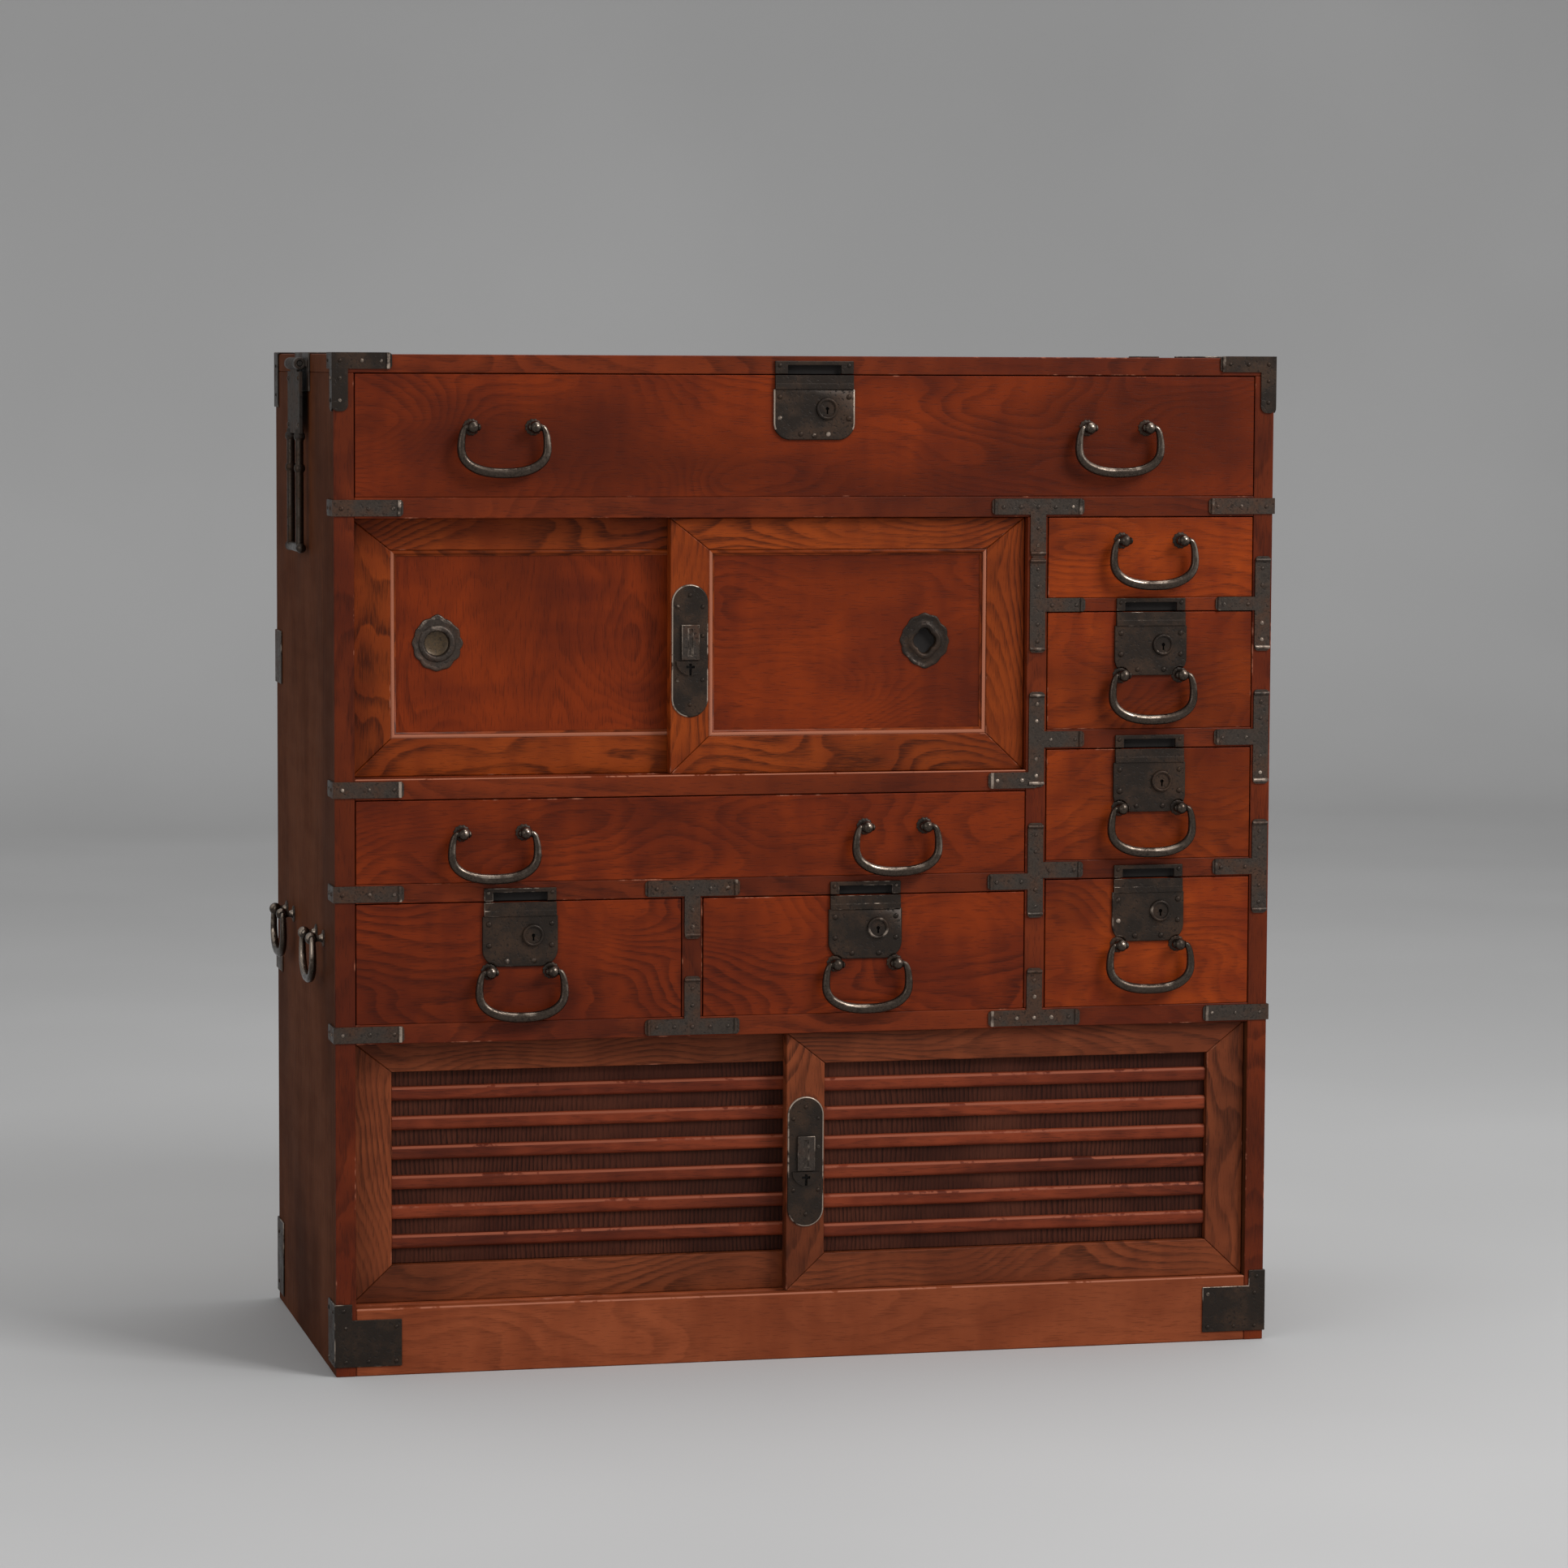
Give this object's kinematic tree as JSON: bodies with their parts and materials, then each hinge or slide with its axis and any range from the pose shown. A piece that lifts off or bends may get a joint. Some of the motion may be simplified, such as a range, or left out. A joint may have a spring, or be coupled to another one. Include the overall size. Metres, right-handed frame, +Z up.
{
  "type": "chest of drawers",
  "caption": "Lacquered merchant's chest with iron straps: drawers behind plain fronts, panelled and slatted sliding doors, hanging bail handles, lock plates and folding carrying bars.",
  "frame": {"origin": "middle of the footprint, on the ground", "axes": "+Z up, front faces -Y, +X to the right seen from the front"},
  "size_m": [0.9356, 0.4244, 0.9456],
  "materials": {
    "front_wood": "red-brown translucent lacquer over figured wood, satin, pale worn edges",
    "drawer_wood": "red-brown lacquered front; the box behind it is bare wood",
    "side_wood": "dull brown stained wood, upright grain",
    "bare_wood": "plain unfinished softwood",
    "iron": "dark forged iron, brown patina, bright worn edges"
  },
  "bodies": {
    "case": {"left_side_board": "side_wood", "right_side_board": "side_wood", "top_board": "front_wood", "floor_board": "bare_wood", "back_boards": "bare_wood", "base_rail": "front_wood", "shelves": "front_wood", "column_shelves": "front_wood", "partitions": "front_wood", "corner_brackets": "iron", "edge_brackets": "iron", "strike_plates": "iron", "side_handle_mounts": "iron"},
    "drawer_top": {"drawer_top": "drawer_wood", "drawer_top_iron": "iron"},
    "bail_top_left": {"bail_top_left": "iron"},
    "bail_top_right": {"bail_top_right": "iron"},
    "bolt_top": {"bolt_top": "iron"},
    "drawer_long": {"drawer_long": "drawer_wood", "drawer_long_iron": "iron"},
    "bail_long_left": {"bail_long_left": "iron"},
    "bail_long_right": {"bail_long_right": "iron"},
    "drawer_small_left": {"drawer_small_left": "drawer_wood", "drawer_small_left_iron": "iron"},
    "bail_small_left": {"bail_small_left": "iron"},
    "bolt_small_left": {"bolt_small_left": "iron"},
    "drawer_small_right": {"drawer_small_right": "drawer_wood", "drawer_small_right_iron": "iron"},
    "bail_small_right": {"bail_small_right": "iron"},
    "bolt_small_right": {"bolt_small_right": "iron"},
    "drawer_column_1": {"drawer_column_1": "drawer_wood", "drawer_column_1_iron": "iron"},
    "bail_column_1": {"bail_column_1": "iron"},
    "drawer_column_2": {"drawer_column_2": "drawer_wood", "drawer_column_2_iron": "iron"},
    "bail_column_2": {"bail_column_2": "iron"},
    "bolt_column_2": {"bolt_column_2": "iron"},
    "drawer_column_3": {"drawer_column_3": "drawer_wood", "drawer_column_3_iron": "iron"},
    "bail_column_3": {"bail_column_3": "iron"},
    "bolt_column_3": {"bolt_column_3": "iron"},
    "drawer_column_4": {"drawer_column_4": "drawer_wood", "drawer_column_4_iron": "iron"},
    "bail_column_4": {"bail_column_4": "iron"},
    "bolt_column_4": {"bolt_column_4": "iron"},
    "upper_door_left": {"upper_door_left": "front_wood", "upper_door_left_pull": "iron"},
    "upper_door_right": {"upper_door_right": "front_wood", "upper_door_right_iron": "iron"},
    "lower_door_left": {"lower_door_left": "front_wood"},
    "lower_door_right": {"lower_door_right": "front_wood", "lower_door_right_lock": "iron"},
    "latch_upper_door": {"latch_upper_door": "iron"},
    "latch_lower_door": {"latch_lower_door": "iron"},
    "bail_side_left_front": {"bail_side_left_front": "iron"},
    "bail_side_left_back": {"bail_side_left_back": "iron"},
    "carrying_bar_left": {"carrying_bar_left": "iron"},
    "bail_side_right_front": {"bail_side_right_front": "iron"},
    "bail_side_right_back": {"bail_side_right_back": "iron"},
    "carrying_bar_right": {"carrying_bar_right": "iron"}
  },
  "joints": [
    {"name": "drawer_top_slide", "type": "slide", "parent": "case", "child": "drawer_top", "axis": [0, -1, 0], "range_m": [0, 0.28]},
    {"name": "bail_top_left_swing", "type": "hinge", "parent": "drawer_top", "child": "bail_top_left", "pos_m": [-0.294, -0.2064, 0.87775], "axis": [-1, 0, 0], "range_deg": [0, 110]},
    {"name": "bail_top_right_swing", "type": "hinge", "parent": "drawer_top", "child": "bail_top_right", "pos_m": [0.294, -0.2064, 0.87775], "axis": [-1, 0, 0], "range_deg": [0, 110]},
    {"name": "bolt_top_lift", "type": "slide", "parent": "drawer_top", "child": "bolt_top", "axis": [0, 0, 1], "range_m": [0, 0.008]},
    {"name": "drawer_long_slide", "type": "slide", "parent": "case", "child": "drawer_long", "axis": [0, -1, 0], "range_m": [0, 0.28]},
    {"name": "bail_long_left_swing", "type": "hinge", "parent": "drawer_long", "child": "bail_long_left", "pos_m": [-0.303, -0.2064, 0.504], "axis": [-1, 0, 0], "range_deg": [0, 110]},
    {"name": "bail_long_right_swing", "type": "hinge", "parent": "drawer_long", "child": "bail_long_right", "pos_m": [0.08, -0.2064, 0.504], "axis": [-1, 0, 0], "range_deg": [0, 110]},
    {"name": "drawer_small_left_slide", "type": "slide", "parent": "case", "child": "drawer_small_left", "axis": [0, -1, 0], "range_m": [0, 0.28]},
    {"name": "bail_small_left_swing", "type": "hinge", "parent": "drawer_small_left", "child": "bail_small_left", "pos_m": [-0.2775, -0.2064, 0.375], "axis": [-1, 0, 0], "range_deg": [0, 110]},
    {"name": "bolt_small_left_lift", "type": "slide", "parent": "drawer_small_left", "child": "bolt_small_left", "axis": [0, 0, 1], "range_m": [0, 0.008]},
    {"name": "drawer_small_right_slide", "type": "slide", "parent": "case", "child": "drawer_small_right", "axis": [0, -1, 0], "range_m": [0, 0.28]},
    {"name": "bail_small_right_swing", "type": "hinge", "parent": "drawer_small_right", "child": "bail_small_right", "pos_m": [0.05175, -0.2064, 0.375], "axis": [-1, 0, 0], "range_deg": [0, 110]},
    {"name": "bolt_small_right_lift", "type": "slide", "parent": "drawer_small_right", "child": "bolt_small_right", "axis": [0, 0, 1], "range_m": [0, 0.008]},
    {"name": "drawer_column_1_slide", "type": "slide", "parent": "case", "child": "drawer_column_1", "axis": [0, -1, 0], "range_m": [0, 0.28]},
    {"name": "bail_column_1_swing", "type": "hinge", "parent": "drawer_column_1", "child": "bail_column_1", "pos_m": [0.32925, -0.2064, 0.7715], "axis": [-1, 0, 0], "range_deg": [0, 110]},
    {"name": "drawer_column_2_slide", "type": "slide", "parent": "case", "child": "drawer_column_2", "axis": [0, -1, 0], "range_m": [0, 0.28]},
    {"name": "bail_column_2_swing", "type": "hinge", "parent": "drawer_column_2", "child": "bail_column_2", "pos_m": [0.32925, -0.2064, 0.644], "axis": [-1, 0, 0], "range_deg": [0, 110]},
    {"name": "bolt_column_2_lift", "type": "slide", "parent": "drawer_column_2", "child": "bolt_column_2", "axis": [0, 0, 1], "range_m": [0, 0.008]},
    {"name": "drawer_column_3_slide", "type": "slide", "parent": "case", "child": "drawer_column_3", "axis": [0, -1, 0], "range_m": [0, 0.28]},
    {"name": "bail_column_3_swing", "type": "hinge", "parent": "drawer_column_3", "child": "bail_column_3", "pos_m": [0.32925, -0.2064, 0.5175], "axis": [-1, 0, 0], "range_deg": [0, 110]},
    {"name": "bolt_column_3_lift", "type": "slide", "parent": "drawer_column_3", "child": "bolt_column_3", "axis": [0, 0, 1], "range_m": [0, 0.008]},
    {"name": "drawer_column_4_slide", "type": "slide", "parent": "case", "child": "drawer_column_4", "axis": [0, -1, 0], "range_m": [0, 0.28]},
    {"name": "bail_column_4_swing", "type": "hinge", "parent": "drawer_column_4", "child": "bail_column_4", "pos_m": [0.32925, -0.2064, 0.387], "axis": [-1, 0, 0], "range_deg": [0, 110]},
    {"name": "bolt_column_4_lift", "type": "slide", "parent": "drawer_column_4", "child": "bolt_column_4", "axis": [0, 0, 1], "range_m": [0, 0.008]},
    {"name": "upper_door_left_slide", "type": "slide", "parent": "case", "child": "upper_door_left", "axis": [1, 0, 0], "range_m": [0, 0.2965]},
    {"name": "upper_door_right_slide", "type": "slide", "parent": "case", "child": "upper_door_right", "axis": [1, 0, 0], "range_m": [-0.2965, 0]},
    {"name": "lower_door_left_slide", "type": "slide", "parent": "case", "child": "lower_door_left", "axis": [1, 0, 0], "range_m": [0, 0.4095]},
    {"name": "lower_door_right_slide", "type": "slide", "parent": "case", "child": "lower_door_right", "axis": [1, 0, 0], "range_m": [-0.4095, 0]},
    {"name": "latch_upper_door_slide", "type": "slide", "parent": "upper_door_right", "child": "latch_upper_door", "axis": [0, 0, 1], "range_m": [0, 0.008]},
    {"name": "latch_lower_door_slide", "type": "slide", "parent": "lower_door_right", "child": "latch_lower_door", "axis": [0, 0, 1], "range_m": [0, 0.008]},
    {"name": "bail_side_left_front_swing", "type": "hinge", "parent": "case", "child": "bail_side_left_front", "pos_m": [-0.462, -0.0969, 0.401], "axis": [0, 1, 0], "range_deg": [0, 110]},
    {"name": "bail_side_left_back_swing", "type": "hinge", "parent": "case", "child": "bail_side_left_back", "pos_m": [-0.462, 0.1131, 0.401], "axis": [0, 1, 0], "range_deg": [0, 110]},
    {"name": "carrying_bar_left_fold", "type": "hinge", "parent": "case", "child": "carrying_bar_left", "pos_m": [-0.458, 0.0081, 0.935], "axis": [0, 1, 0], "range_deg": [0, 180]},
    {"name": "bail_side_right_front_swing", "type": "hinge", "parent": "case", "child": "bail_side_right_front", "pos_m": [0.462, -0.0969, 0.401], "axis": [0, -1, 0], "range_deg": [0, 110]},
    {"name": "bail_side_right_back_swing", "type": "hinge", "parent": "case", "child": "bail_side_right_back", "pos_m": [0.462, 0.1131, 0.401], "axis": [0, -1, 0], "range_deg": [0, 110]},
    {"name": "carrying_bar_right_fold", "type": "hinge", "parent": "case", "child": "carrying_bar_right", "pos_m": [0.458, 0.0081, 0.935], "axis": [0, -1, 0], "range_deg": [0, 180]}
  ]
}
